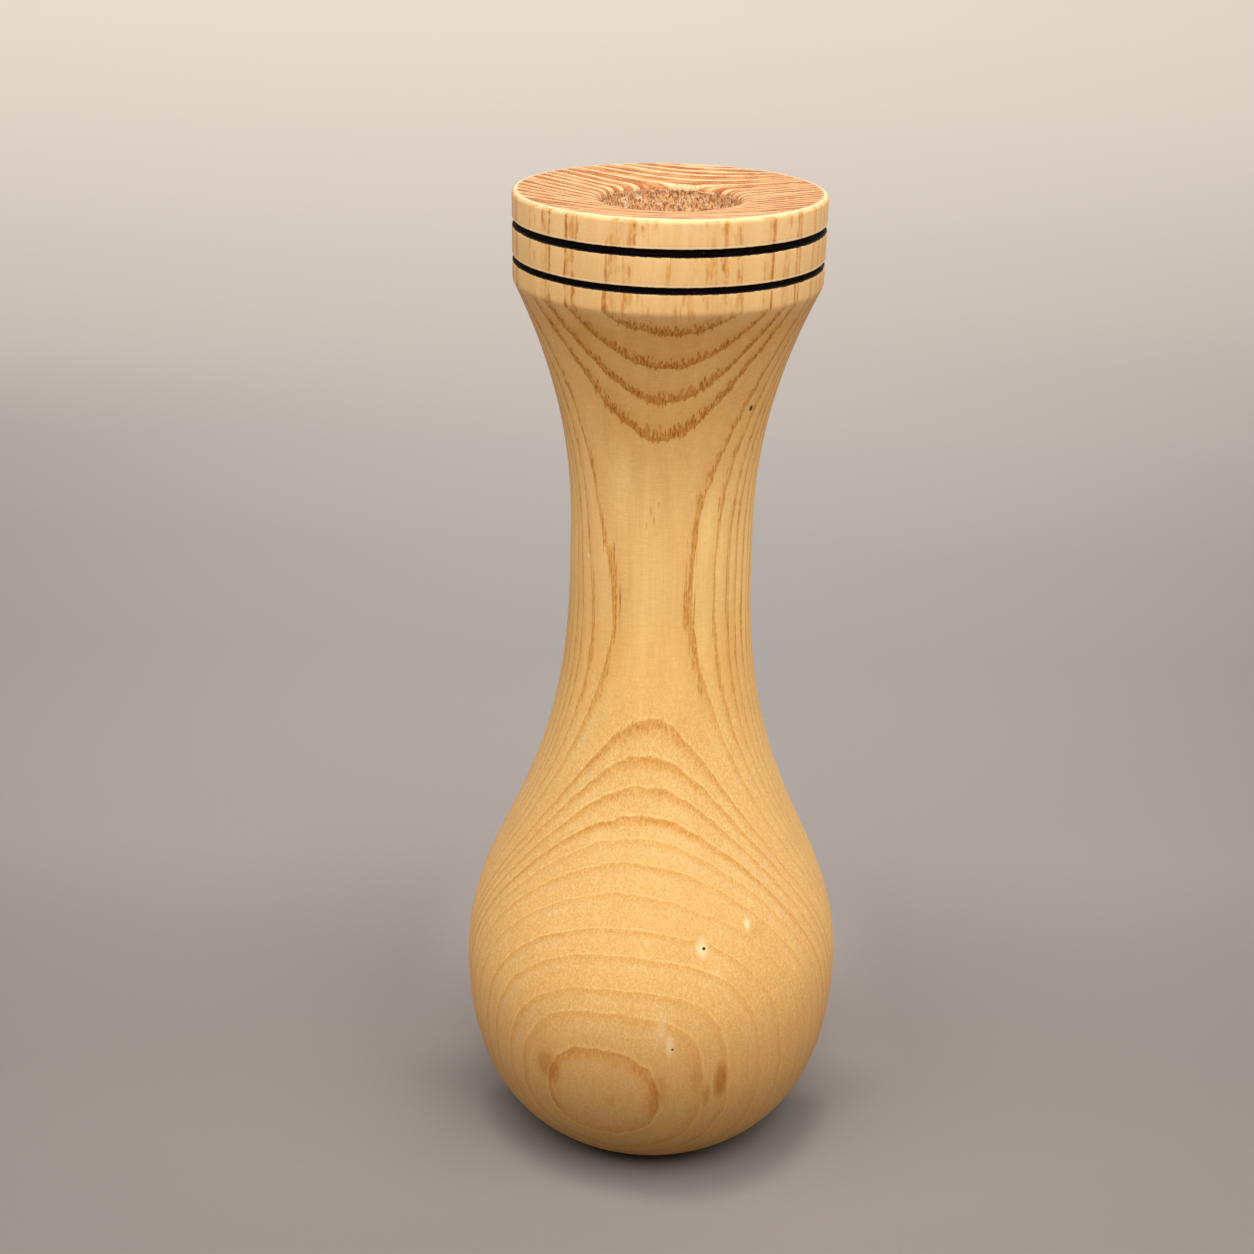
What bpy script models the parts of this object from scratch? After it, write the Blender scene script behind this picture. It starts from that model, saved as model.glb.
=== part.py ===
"""A turned wooden bud vase: round belly, narrow neck, straight rim band with two burnt lines,
dished mouth, drilled bore with a glass water tube that lifts out, and a felt foot pad.
Metres, +Z up. The origin is on the table, under the middle of the foot."""

import math

import bpy

# Outside of the turned wood
HEIGHT = 0.2152
FOOT_RADIUS = 0.0269
BELLY_RADIUS = 0.0427
BELLY_HEIGHT = 0.0389
NECK_RADIUS = 0.0193
NECK_HEIGHT = 0.1377
RIM_RADIUS = 0.0310

# How full the curves between those stations are: shares of the height that each one spans
FOOT_CURVE_ANGLE = 42.0
FOOT_CURVE_SHARE = 0.08
UNDER_BELLY_SHARE = 0.80
OVER_BELLY_SHARE = 0.32
BELOW_NECK_SHARE = 0.59
ABOVE_NECK_SHARE = 0.19
FLARE_ANGLE = 65.0
FLARE_SHARE = 0.51

# Rim band: its two burnt lines, measured down from the top
UPPER_LINE_DROP = 0.0061
UPPER_LINE_WIDTH = 0.0014
LINE_SPACING = 0.0069
LOWER_LINE_WIDTH = 0.0012
BAND_BELOW_LINES = 0.0044
LINE_DEPTH = 0.0013
LINE_RECESS = 0.0003
BAND_CORNER_ROUND = 0.0012
RIM_EDGE_ROUND = 0.0009

# Dished mouth and drilled bore
DISH_DEPTH = 0.0013
DISH_POWER = 1.3
MOUTH_ROLL = 0.0012
BORE_RADIUS = 0.0140
BORE_FLOOR_HEIGHT = 0.0500
SPUR_RADIUS = 0.0016
SPUR_DEPTH = 0.0020

# Felt pieces: the pad under the foot and the cushion under the tube
PAD_RADIUS = 0.0200
PAD_THICKNESS = 0.0020
PAD_PROUD = 0.0005
CUSHION_THICKNESS = 0.0020
CUSHION_SIDE_GAP = 0.0010

# Glass water tube
TUBE_SIDE_GAP = 0.0015
TUBE_WALL = 0.0012
TUBE_BASE = 0.0020
TUBE_CORNER = 0.0030
TUBE_LIP_DROP = 0.0142

# Clearance between pieces that rest on or fit in each other, and the turning's fineness
SEAT_GAP = 0.0003
TURN_STEPS = 48
MERGE_DISTANCE = 0.00001

BORE_MOUTH_HEIGHT = HEIGHT - DISH_DEPTH - MOUTH_ROLL
BAND_CORNER_HEIGHT = HEIGHT - UPPER_LINE_DROP - LINE_SPACING - BAND_BELOW_LINES
CUSHION_SEAT = BORE_FLOOR_HEIGHT + SEAT_GAP
TUBE_SEAT = CUSHION_SEAT + CUSHION_THICKNESS + SEAT_GAP
TUBE_RADIUS = BORE_RADIUS - TUBE_SIDE_GAP


def arc(centre, radius, start, end, count):
    """Points (radius, height) along a circular arc, from one angle to another in degrees."""
    points = []
    for i in range(count + 1):
        angle = math.radians(start + (end - start) * i / count)
        points.append((centre[0] + radius * math.cos(angle), centre[1] + radius * math.sin(angle)))
    return points


def curve(start, start_pull, end_pull, end, count):
    """Points along a cubic curve whose ends leave towards the two pulls."""
    points = []
    for i in range(count + 1):
        t = i / count
        s = 1.0 - t
        weights = (s ** 3, 3 * s * s * t, 3 * s * t * t, t ** 3)
        corners = (start, start_pull, end_pull, end)
        points.append(tuple(sum(w * c[k] for w, c in zip(weights, corners)) for k in (0, 1)))
    return points


def dish_outline():
    """Soft edge of the bore, then the dish rising gently to the rim's rounded edge."""
    inner = BORE_RADIUS + MOUTH_ROLL
    outer = RIM_RADIUS - RIM_EDGE_ROUND
    points = arc((inner, BORE_MOUTH_HEIGHT), MOUTH_ROLL, 180, 100, 4)
    for share in (0.80, 0.55, 0.27, 0.0):
        drop = DISH_DEPTH * share ** DISH_POWER
        points.append((outer + (inner - outer) * share, HEIGHT - drop))
    return points + arc((outer, HEIGHT - RIM_EDGE_ROUND), RIM_EDGE_ROUND, 60, 0, 2)


def line_groove(drop, width):
    """Square groove cut into the rim band, its middle that far below the top."""
    top = HEIGHT - drop + width / 2
    bottom = top - width
    floor = RIM_RADIUS - LINE_DEPTH
    return [(RIM_RADIUS, top), (floor, top), (floor, bottom), (RIM_RADIUS, bottom)]


def side_outline():
    """Rim band's corner, flare, neck, belly and foot, from the top down."""
    flare = (math.cos(math.radians(FLARE_ANGLE)), math.sin(math.radians(FLARE_ANGLE)))
    corner = (RIM_RADIUS - BAND_CORNER_ROUND * flare[0], BAND_CORNER_HEIGHT - BAND_CORNER_ROUND * flare[1])
    flare_span = BAND_CORNER_HEIGHT - NECK_HEIGHT
    flare_pull = (corner[0] - FLARE_SHARE * flare_span * flare[0],
                  corner[1] - FLARE_SHARE * flare_span * flare[1])
    above_neck = (NECK_RADIUS, NECK_HEIGHT + ABOVE_NECK_SHARE * flare_span)
    points = [(RIM_RADIUS, BAND_CORNER_HEIGHT + BAND_CORNER_ROUND)]
    points += curve(corner, flare_pull, above_neck, (NECK_RADIUS, NECK_HEIGHT), 10)

    body_span = NECK_HEIGHT - BELLY_HEIGHT
    below_neck = (NECK_RADIUS, NECK_HEIGHT - BELOW_NECK_SHARE * body_span)
    over_belly = (BELLY_RADIUS, BELLY_HEIGHT + OVER_BELLY_SHARE * body_span)
    points += curve((NECK_RADIUS, NECK_HEIGHT), below_neck, over_belly, (BELLY_RADIUS, BELLY_HEIGHT), 16)[1:]

    foot_span = BELLY_HEIGHT - PAD_PROUD
    foot_angle = math.radians(FOOT_CURVE_ANGLE)
    foot_pull = (FOOT_RADIUS + FOOT_CURVE_SHARE * foot_span * math.cos(foot_angle),
                 PAD_PROUD + FOOT_CURVE_SHARE * foot_span * math.sin(foot_angle))
    under_belly = (BELLY_RADIUS, BELLY_HEIGHT - UNDER_BELLY_SHARE * foot_span)
    points += curve((BELLY_RADIUS, BELLY_HEIGHT), under_belly, foot_pull, (FOOT_RADIUS, PAD_PROUD), 10)[1:]
    return points


def body_outline():
    """Whole section of the wood: bore, mouth, outside, foot and the pad's recess."""
    recess_radius = PAD_RADIUS + SEAT_GAP
    recess_ceiling = PAD_THICKNESS + SEAT_GAP
    points = [(0.0, BORE_FLOOR_HEIGHT - SPUR_DEPTH), (SPUR_RADIUS, BORE_FLOOR_HEIGHT)]
    points.append((BORE_RADIUS, BORE_FLOOR_HEIGHT))
    points += dish_outline()
    points += line_groove(UPPER_LINE_DROP, UPPER_LINE_WIDTH)
    points += line_groove(UPPER_LINE_DROP + LINE_SPACING, LOWER_LINE_WIDTH)
    points += side_outline()
    points += [(recess_radius, PAD_PROUD), (recess_radius, recess_ceiling), (0.0, recess_ceiling)]
    return points


def burnt_ring_outline(drop, width):
    """Ring of char in a groove, clear of its walls and a little below the band's face."""
    inner = RIM_RADIUS - LINE_DEPTH + SEAT_GAP
    outer = RIM_RADIUS - LINE_RECESS
    half = width / 2 - SEAT_GAP
    middle = HEIGHT - drop
    return [(outer, middle + half), (outer, middle - half), (inner, middle - half),
            (inner, middle + half), (outer, middle + half)]


def disc_outline(radius, thickness):
    """Flat disc standing on height zero."""
    return [(0.0, thickness), (radius, thickness), (radius, 0.0), (0.0, 0.0)]


def tube_outline():
    """Flat-bottomed glass tube with a rounded base corner and a melted, rounded lip."""
    length = HEIGHT - TUBE_LIP_DROP - TUBE_SEAT
    bore = TUBE_RADIUS - TUBE_WALL
    lip = TUBE_WALL / 2
    inner_corner = TUBE_CORNER - TUBE_WALL
    points = [(0.0, TUBE_BASE)]
    points += arc((bore - inner_corner, TUBE_BASE + inner_corner), inner_corner, -90, 0, 4)
    points += arc((TUBE_RADIUS - lip, length - lip), lip, 180, 0, 6)
    points += arc((TUBE_RADIUS - TUBE_CORNER, TUBE_CORNER), TUBE_CORNER, 0, -90, 5)
    points.append((0.0, 0.0))
    return points


def finish(name, colour, roughness, metallic=0.0, alpha=1.0):
    """Plain principled material."""
    material = bpy.data.materials.new(name)
    material.use_nodes = True
    shader = material.node_tree.nodes["Principled BSDF"]
    shader.inputs["Base Color"].default_value = (*colour, 1.0)
    shader.inputs["Roughness"].default_value = roughness
    shader.inputs["Metallic"].default_value = metallic
    shader.inputs["Alpha"].default_value = alpha
    return material


def turned(name, outline, material, parts, height=0.0):
    """Solid of revolution from an outline that runs down its outer side."""
    mesh = bpy.data.meshes.new(name)
    edges = [(i, i + 1) for i in range(len(outline) - 1)]
    mesh.from_pydata([(r, 0.0, z) for r, z in outline], edges, [])
    piece = bpy.data.objects.new(name, mesh)
    piece.location.z = height
    parts.objects.link(piece)
    screw = piece.modifiers.new("turned", "SCREW")
    screw.axis = "Z"
    screw.steps = TURN_STEPS
    screw.render_steps = TURN_STEPS
    screw.use_merge_vertices = True
    screw.merge_threshold = MERGE_DISTANCE
    screw.use_smooth_shade = True
    mesh.materials.append(material)
    return piece


def clear_scene():
    """Start from an empty scene."""
    for item in list(bpy.data.objects):
        bpy.data.objects.remove(item, do_unlink=True)


def build_wood(parts):
    """The one-piece turned body."""
    wood = finish("honey_wood", (0.80, 0.52, 0.24), 0.38)
    turned("vase_body", body_outline(), wood, parts)


def build_burnt_lines(parts):
    """The two rings of char burnt into the rim band."""
    char = finish("char", (0.012, 0.009, 0.008), 0.45)
    lower_drop = UPPER_LINE_DROP + LINE_SPACING
    turned("upper_burn_line", burnt_ring_outline(UPPER_LINE_DROP, UPPER_LINE_WIDTH), char, parts)
    turned("lower_burn_line", burnt_ring_outline(lower_drop, LOWER_LINE_WIDTH), char, parts)


def build_felt(parts):
    """The pad that the vase stands on and the cushion that the tube stands on."""
    pad_felt = finish("foot_felt", (0.10, 0.08, 0.06), 0.95)
    cushion_felt = finish("cushion_felt", (0.35, 0.30, 0.24), 0.95)
    turned("foot_pad", disc_outline(PAD_RADIUS, PAD_THICKNESS), pad_felt, parts)
    cushion_radius = BORE_RADIUS - CUSHION_SIDE_GAP
    turned("tube_cushion", disc_outline(cushion_radius, CUSHION_THICKNESS), cushion_felt, parts, CUSHION_SEAT)


def build_tube(parts):
    """The glass liner, its own origin on the lifting axis at its base."""
    glass = finish("clear_glass", (0.90, 0.95, 0.94), 0.05, alpha=0.35)
    turned("water_tube", tube_outline(), glass, parts, TUBE_SEAT)


def main():
    clear_scene()
    parts = bpy.data.collections.new("wooden_vase")
    bpy.context.scene.collection.children.link(parts)
    build_wood(parts)
    build_burnt_lines(parts)
    build_felt(parts)
    build_tube(parts)


main()
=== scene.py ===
"""Looks of the turned wooden bud vase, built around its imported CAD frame.
Geometry is in metres in the CAD frame; the wood pattern is worked out in millimetres."""

import math
import random

import bpy
from mathutils import Matrix, Vector, noise


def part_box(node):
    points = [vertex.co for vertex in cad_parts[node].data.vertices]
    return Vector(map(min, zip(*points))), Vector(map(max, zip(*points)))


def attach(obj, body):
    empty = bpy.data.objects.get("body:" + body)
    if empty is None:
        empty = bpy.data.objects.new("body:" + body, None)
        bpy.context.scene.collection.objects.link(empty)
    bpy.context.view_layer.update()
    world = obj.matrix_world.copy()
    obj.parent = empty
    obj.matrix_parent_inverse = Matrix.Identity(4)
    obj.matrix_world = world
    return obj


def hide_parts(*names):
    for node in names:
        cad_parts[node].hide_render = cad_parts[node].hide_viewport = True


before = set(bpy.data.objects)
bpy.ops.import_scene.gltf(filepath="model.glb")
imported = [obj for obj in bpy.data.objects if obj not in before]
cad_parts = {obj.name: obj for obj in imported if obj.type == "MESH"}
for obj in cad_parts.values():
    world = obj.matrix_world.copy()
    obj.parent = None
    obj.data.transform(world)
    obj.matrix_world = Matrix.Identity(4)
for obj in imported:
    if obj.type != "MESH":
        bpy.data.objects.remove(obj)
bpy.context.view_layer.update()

BODY_LOW, BODY_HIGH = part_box("vase_body")
TUBE_LOW, TUBE_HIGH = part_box("water_tube")
CUSHION_LOW, CUSHION_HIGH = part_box("tube_cushion")
PAD_LOW, PAD_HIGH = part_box("foot_pad")

# Outside of the turned wood
HEIGHT = BODY_HIGH.z
BELLY_RADIUS = BODY_HIGH.x
FOOT_HEIGHT = BODY_LOW.z
FOOT_RADIUS = 0.0269
BELLY_HEIGHT = 0.0389
NECK_RADIUS = 0.0193
NECK_HEIGHT = 0.1377
RIM_RADIUS = 0.0310
FOOT_CURVE_ANGLE = 42.0
FOOT_CURVE_SHARE = 0.08
UNDER_BELLY_SHARE = 0.80
OVER_BELLY_SHARE = 0.32
BELOW_NECK_SHARE = 0.59
ABOVE_NECK_SHARE = 0.19
FLARE_ANGLE = 65.0
FLARE_SHARE = 0.51

# Rim band and its two burnt lines
UPPER_LINE_DROP = 0.0061
UPPER_LINE_WIDTH = 0.0014
LINE_SPACING = 0.0069
LOWER_LINE_WIDTH = 0.0012
BAND_BELOW_LINES = 0.0044
LINE_DEPTH = 0.0013
LINE_RECESS = 0.0003
LINE_LIP_ROUND = 0.00022
BAND_CORNER_ROUND = 0.0012
RIM_EDGE_ROUND = 0.0009
BAND_CORNER_HEIGHT = HEIGHT - UPPER_LINE_DROP - LINE_SPACING - BAND_BELOW_LINES
BURNT_LINES = ((UPPER_LINE_DROP, UPPER_LINE_WIDTH), (UPPER_LINE_DROP + LINE_SPACING, LOWER_LINE_WIDTH))

# Roughness of the grooves' lips and of the char, and the gaps round the char
LIP_RELIEF = 0.00007
CHAR_LUMP = 0.00012
CHAR_SWELL = 0.00010
CHAR_BACK_GAP = 0.0003
CHAR_FACE_GAP = 0.0002
CHAR_SIDE_GAP = 0.00005

# Sizes of the lumps on a ring, around it and along the vase
LIP_LUMP_SIZE = (0.0012, 0.001)
LIP_WAVE_SIZE = (0.008, 0.001)
CHAR_LUMP_SIZE = (0.0006, 0.0005)
CHAR_SWELL_SIZE = (0.003, 0.002)

# Dished mouth and drilled bore
DISH_DEPTH = 0.0013
DISH_POWER = 1.3
DISH_SHARE = 0.97
MOUTH_ROLL = 0.0012
MOUTH_ROLL_WIDTH = 0.0024
ROLL_ANGLE = 84.0
BORE_RADIUS = 0.0140
BORE_FLOOR_HEIGHT = 0.0500
BORE_MOUTH_HEIGHT = HEIGHT - DISH_DEPTH - MOUTH_ROLL
SPUR_RADIUS = 0.0016
SPUR_DEPTH = 0.0020
TORN_DEPTH = 0.026
TORN_RELIEF = 0.00032
TORN_ACROSS = 1.1
TORN_ALONG = 1.6

# Felt and glass
RECESS_GAP = 0.0003
FELT_EDGE_SHARE = 0.32
FELT_LUMP = 0.00010
FELT_EDGE_LUMP = 0.00025
FELT_LUMP_WIDTH = 0.0012
FELT_LUMP_HEIGHT = 0.001
TUBE_RADIUS = TUBE_HIGH.x
TUBE_WALL = 0.0012
TUBE_BASE = 0.0020
TUBE_CORNER = 0.0030

# Fineness of the turned meshes: steps round them, spacing of their rows in metres, steps in a curve
BODY_STEPS = 360
RING_STEPS = 480
TUBE_STEPS = 128
FELT_STEPS = 144
FINE_ROWS = 0.0004
CLOSE_ROWS = 0.0008
FOOT_ROWS = 0.001
FLAT_ROWS = 0.003
BORE_ROWS = 0.004
GLASS_ROWS = 0.006
MOUTH_ROLL_STEPS = 12
DISH_STEPS = 24
FLARE_STEPS = 60
WAIST_STEPS = 110

# Radii this close count as the same, and edges above this angle in degrees stay sharp
SAME_PLACE = 1e-5
SHARP_ANGLE = 50.0

# Camera: where the photograph was taken from
PHOTO_SIDE_PIXELS = 1254.0
FOCAL_PIXELS = 1786.64
SENSOR_WIDTH_MM = 36.0
CAMERA_DISTANCE = 0.35443
CAMERA_HEIGHT = 0.27838
CAMERA_PITCH = 23.9031
CAMERA_YAW = -1.1211
CAMERA_ROLL = 1.0207
CLIP_START = 0.01
CLIP_END = 50.0

# Light: level and tint of the room, what the camera sees behind the floor, and the lamps' tint
WORLD_LEVEL = 0.04
WORLD_TINT = (1.0, 0.98, 0.95)
WALL_TINT = (0.775, 0.690, 0.605)
LAMP_TINT = (1.0, 0.99, 0.975)

# Soft boxes: name, direction from the front, elevation, distance, aimed at height, side and watts
SOFT_BOXES = (
    ("left_box", -60.0, 50.0, 1.1, 0.10, 0.8, 6.6),
    ("right_box", 60.0, 50.0, 1.1, 0.10, 0.8, 7.6),
    ("front_box", 0.0, 65.0, 1.1, 0.10, 0.8, 3.2),
    ("near_box", 0.0, 60.0, 0.6, 0.13, 0.45, 1.8),
    ("back_box", 140.0, 50.0, 1.1, 0.10, 0.8, 1.9),
)

# Floor disc: radii of its rings in metres, and how many steps go round
FLOOR_RADII = (0.0, 0.05, 0.1, 0.2, 0.4, 0.8, 1.6, 3.2, 6.4, 12.8)
FLOOR_STEPS = 96

# Floor colours by depth behind the vase in millimetres, with painted light falloff: darker near and in
# front of the vase, lighter further back. Also what the floor throws upwards by distance, and the glow of
# the pale sweep further back. Beyond SWEEP_ROUND the depth also grows towards every side.
FLOOR_TONES_AND_FALLOFF = ((-60.0, (0.262, 0.233, 0.215)), (0.0, (0.289, 0.257, 0.236)),
               (56.0, (0.339, 0.299, 0.279)), (110.0, (0.397, 0.350, 0.328)),
               (250.0, (0.415, 0.378, 0.362)), (355.0, (0.488, 0.445, 0.425)),
               (490.0, (0.650, 0.585, 0.548)), (680.0, (0.915, 0.827, 0.758)))
FLOOR_BOUNCE = ((60.0, (0.11, 0.09, 0.075)), (130.0, (0.26, 0.225, 0.20)), (300.0, (0.48, 0.43, 0.39)))
SWEEP_TONES = ((490.0, (0.532, 0.473, 0.432)), (576.0, (0.561, 0.498, 0.451)),
               (800.0, (0.630, 0.560, 0.500)), (1150.0, (0.698, 0.617, 0.542)),
               (1770.0, (0.767, 0.676, 0.588)), (2580.0, (0.804, 0.699, 0.607)),
               (3200.0, (0.810, 0.703, 0.611)))
SWEEP_START = 480.0
SWEEP_FULL = 680.0
SWEEP_ROUND = 250.0

# Painted shade sideways by depth: LEAN darkens from left to right, DIM from the middle to both sides. It
# goes by the direction from a point SIDEWAYS_FROM in front of the vase.
SWEEP_LEAN = ((-60.0, 0.02), (0.0, 0.03), (160.0, 0.17), (1400.0, 0.15))
SWEEP_DIM = ((-60.0, 0.20), (60.0, 1.05), (600.0, 1.05), (1400.0, 0.70))
SIDEWAYS_FROM = 400.0
SIDEWAYS_NEAREST = 340.0
SIDEWAYS_SPREAD = 1.6

# Painted light on the floor beside the belly, lifting the vase's own shadow there, and painted contact
# shadow where the foot stands
PAINTED_LIGHT_BESIDE_BELLY = 0.24
CONTACT_SHADE = 0.30

# Growth rings: how the sheets of yearly wood lie in the vase, in millimetres.
# The ring coordinate grows from the heart side (behind) towards the bark side (the camera).
GRAIN_MIDDLE = 110.0
LEAN_ACROSS = 0.052
LEAN_UP = -0.0344
CUP = -0.00574
CUP_UP = 1.71e-5
TURN = 0.000493
TURN_UP = 8.94e-7
BOW = -0.000413
BOW_UP = 1.82e-6
SPREAD = -0.00256
SPREAD_ACROSS = 4.78e-5

# Where each year's wood starts, counted towards the bark, measured on the photograph
RING_EDGES = (10.0, 12.1, 13.7, 15.8, 17.9, 21.5, 23.2, 25.2, 27.5, 29.6, 32.0, 35.5, 39.6, 42.7, 46.5,
              48.6, 51.3, 54.5)
HIDDEN_RING_SPACING = 2.4
RING_REACH = 57.0

# How strongly each part of the trunk shows its early wood: (ring coordinate, strength)
RING_STRENGTHS = ((-57.0, 0.62), (0.0, 0.62), (15.0, 0.66), (17.7, 0.72), (21.2, 0.95), (21.4, 1.0),
                  (28.4, 1.0), (29.3, 0.60), (29.6, 0.35), (31.8, 0.35), (32.0, 0.52), (34.0, 0.45),
                  (35.4, 0.34), (39.2, 0.34), (39.6, 0.56), (42.0, 0.46), (50.0, 0.40), (51.25, 1.0),
                  (51.42, 1.0), (51.60, 0.0), (57.0, 0.0))

# Vessels of the early wood in millimetres: spacing across and in depth, length, and the belt they fill
PORE_ACROSS = 0.36
PORE_DEPTH = 0.30
PORE_LENGTH = 22.0
PORE_BELT = 0.26
PORE_BELT_FADE = 0.50

# Colour of the plain wood by height in millimetres, partly the wood's own tone and partly painted shade:
# darker under the belly and under the rim band's corner
WOOD_TONES_AND_SHADE = ((8.0, (0.800, 0.435, 0.120)), (22.0, (0.700, 0.376, 0.118)),
              (35.0, (0.805, 0.432, 0.136)), (50.0, (0.860, 0.488, 0.156)),
              (75.0, (0.797, 0.463, 0.155)), (90.0, (0.825, 0.484, 0.159)),
              (105.0, (0.840, 0.487, 0.154)), (120.0, (0.880, 0.510, 0.158)),
              (137.0, (0.920, 0.566, 0.204)), (155.0, (0.910, 0.550, 0.198)),
              (175.0, (0.815, 0.460, 0.141)), (185.0, (0.796, 0.448, 0.146)),
              (193.0, (0.740, 0.386, 0.110)), (198.5, (0.790, 0.480, 0.190)),
              (205.0, (0.805, 0.494, 0.200)), (213.0, (0.870, 0.542, 0.238)))

# Places on the wood in millimetres
RIM_MM = 1000.0 * RIM_RADIUS
BORE_MM = 1000.0 * BORE_RADIUS
MOUTH_MM = 1000.0 * BORE_MOUTH_HEIGHT

# Tints that multiply the wood: early and late wood, the rim's streaks, the vessels and the marks
BELLY_BROWN = (0.87, 0.68, 0.48)
NECK_BROWN = (0.87, 0.76, 0.66)
LATE_MILKY = (0.99, 1.05, 1.24)
YEAR_END_PALE = (1.08, 1.18, 1.32)
RIM_BROWN = (0.84, 0.66, 0.46)
RIM_STAIN = (0.87, 0.69, 0.45)
RIM_DARK = (0.72, 0.50, 0.27)
BELT_BROWN = (0.81, 0.64, 0.36)
VESSEL_DARK = (0.66, 0.47, 0.18)
VESSEL_PALE = (1.22, 1.40, 1.75)
GOLDEN_HIGHLIGHT = (1.07, 1.15, 1.18)
# The golden tint paints highlights on the neck.
FLECK_DARK = (0.68, 0.49, 0.28)
ORANGE = (1.0, 0.86, 0.62)
END_SIDES = (0.86, 0.81, 0.75)

# Colours that cover the wood: knots, the dished top, the bore and the burnt grooves
HALO_CREAM = (1.0, 0.80, 0.46)
KNOT_BROWN = (0.06, 0.028, 0.008)
END_DARK = (0.370, 0.122, 0.032)
END_PLAIN = (0.640, 0.285, 0.098)
END_LINE = (0.330, 0.100, 0.027)
END_PALE = (0.88, 0.55, 0.29)
# The pale edge colour paints a highlight along the top's rounded outer edge.
END_EDGE_HIGHLIGHT = (0.91, 0.71, 0.44)
BORE_DARK = (0.40, 0.145, 0.048)
BORE_PALE = (0.96, 0.55, 0.26)
BORE_FLECK = (0.98, 0.80, 0.55)
# The cream lip colour is a painted highlight on each burnt line's upper lip.
LIP_HIGHLIGHT_CREAM = (1.0, 0.80, 0.50)
BURNT_BLACK = (0.004, 0.002, 0.0015)

# Places where the rings bulge towards the bark: angle, height, reach sideways and upwards, by how much
RING_BULGES = ((-44.0, 157.0, 10.0, 38.0, 1.5), (20.0, 52.0, 24.0, 24.0, 1.5))

# Marks on the side: angle from the front, height, reach sideways and upwards, strength
PIN_KNOTS = ((17.4, 63.2, 0.50, 0.50, 1.0), (7.0, 41.7, 0.36, 0.36, 1.0), (48.0, 175.8, 0.62, 0.95, 1.0))
KNOT_BULGES = ((17.4, 63.2, 4.0, 4.5, 0.9), (7.0, 41.7, 4.0, 4.5, 0.9))
KNOT_HALOS = ((16.8, 63.2, 1.9, 4.0, 0.85), (6.2, 42.6, 1.5, 4.4, 0.55))
DARK_FLECKS = ((21.9, 31.6, 2.3, 7.2, 1.3), (17.8, 28.2, 1.3, 5.0, 0.8), (-31.0, 32.0, 4.4, 5.6, 0.8),
               (3.4, 30.0, 3.0, 8.0, 0.6), (-6.6, 155.2, 0.26, 2.0, 0.8), (-4.6, 153.2, 0.24, 1.7, 0.9),
               (-2.0, 156.6, 0.24, 1.4, 0.6), (-9.0, 152.0, 0.22, 1.3, 0.6), (37.6, 64.0, 3.4, 2.6, 0.35),
               (14.5, 33.0, 2.4, 6.0, 0.35))
ORANGE_SPOTS = ((-11.0, 26.4, 1.9, 2.2, 0.9),)
PALE_FLECKS = ((34.1, 65.9, 1.1, 3.6, 1.0), (-50.5, 142.6, 0.5, 0.9, 0.9), (20.5, 58.0, 2.4, 3.6, 0.2),
               (3.5, 47.0, 2.4, 5.0, 0.3))
# Bright golden zones of painted highlight on the neck: angle, height, reach sideways and upwards,
# strength.
GOLDEN_HIGHLIGHT_ZONES = ((29.6, 151.0, 3.2, 14.0, 1.0), (30.0, 126.0, 3.2, 22.0, 0.8),
                (-23.5, 160.0, 3.6, 22.0, 0.9), (-12.0, 120.0, 3.0, 30.0, 0.35),
                (36.0, 104.0, 5.0, 16.0, 0.6))


# Node arithmetic

class Field:
    """A number in a shader node tree, with ordinary arithmetic."""

    def __init__(self, tree, socket):
        self.tree = tree
        self.socket = socket

    def __add__(self, other):
        return combine(self.tree, "ADD", self, other)

    __radd__ = __add__

    def __sub__(self, other):
        return combine(self.tree, "SUBTRACT", self, other)

    def __rsub__(self, other):
        return combine(self.tree, "SUBTRACT", other, self)

    def __mul__(self, other):
        return combine(self.tree, "MULTIPLY", self, other)

    __rmul__ = __mul__

    def __truediv__(self, other):
        return combine(self.tree, "DIVIDE", self, other)


def plug(tree, target, value):
    """Set an input to a constant, or link a field or socket to it."""
    if isinstance(value, Field):
        tree.links.new(value.socket, target)
    elif isinstance(value, bpy.types.NodeSocket):
        tree.links.new(value, target)
    else:
        target.default_value = value


def combine(tree, operation, first, second=0.0):
    """One Math node."""
    node = tree.nodes.new("ShaderNodeMath")
    node.operation = operation
    for target, value in zip(node.inputs, (first, second)):
        plug(tree, target, value)
    return Field(tree, node.outputs[0])


def size_of(field):
    return combine(field.tree, "ABSOLUTE", field)


def larger(first, second):
    return combine(first.tree, "MAXIMUM", first, second)


def ramp(field, low, high, start=0.0, end=1.0):
    """Smooth step from start to end as the field goes from low to high."""
    node = field.tree.nodes.new("ShaderNodeMapRange")
    node.interpolation_type = "SMOOTHSTEP"
    plug(field.tree, node.inputs["Value"], field)
    if low > high:
        low, high, start, end = high, low, end, start
    node.inputs["From Min"].default_value = low
    node.inputs["From Max"].default_value = high
    node.inputs["To Min"].default_value = start
    node.inputs["To Max"].default_value = end
    return Field(field.tree, node.outputs["Result"])


def vector(tree, x, y, z):
    """Socket that joins three numbers or fields."""
    node = tree.nodes.new("ShaderNodeCombineXYZ")
    for target, value in zip(node.inputs, (x, y, z)):
        plug(tree, target, value)
    return node.outputs[0]


def parts_of(tree, socket):
    """The three fields in a vector or colour."""
    node = tree.nodes.new("ShaderNodeSeparateXYZ")
    tree.links.new(socket, node.inputs[0])
    return [Field(tree, node.outputs[k]) for k in range(3)]


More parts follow.
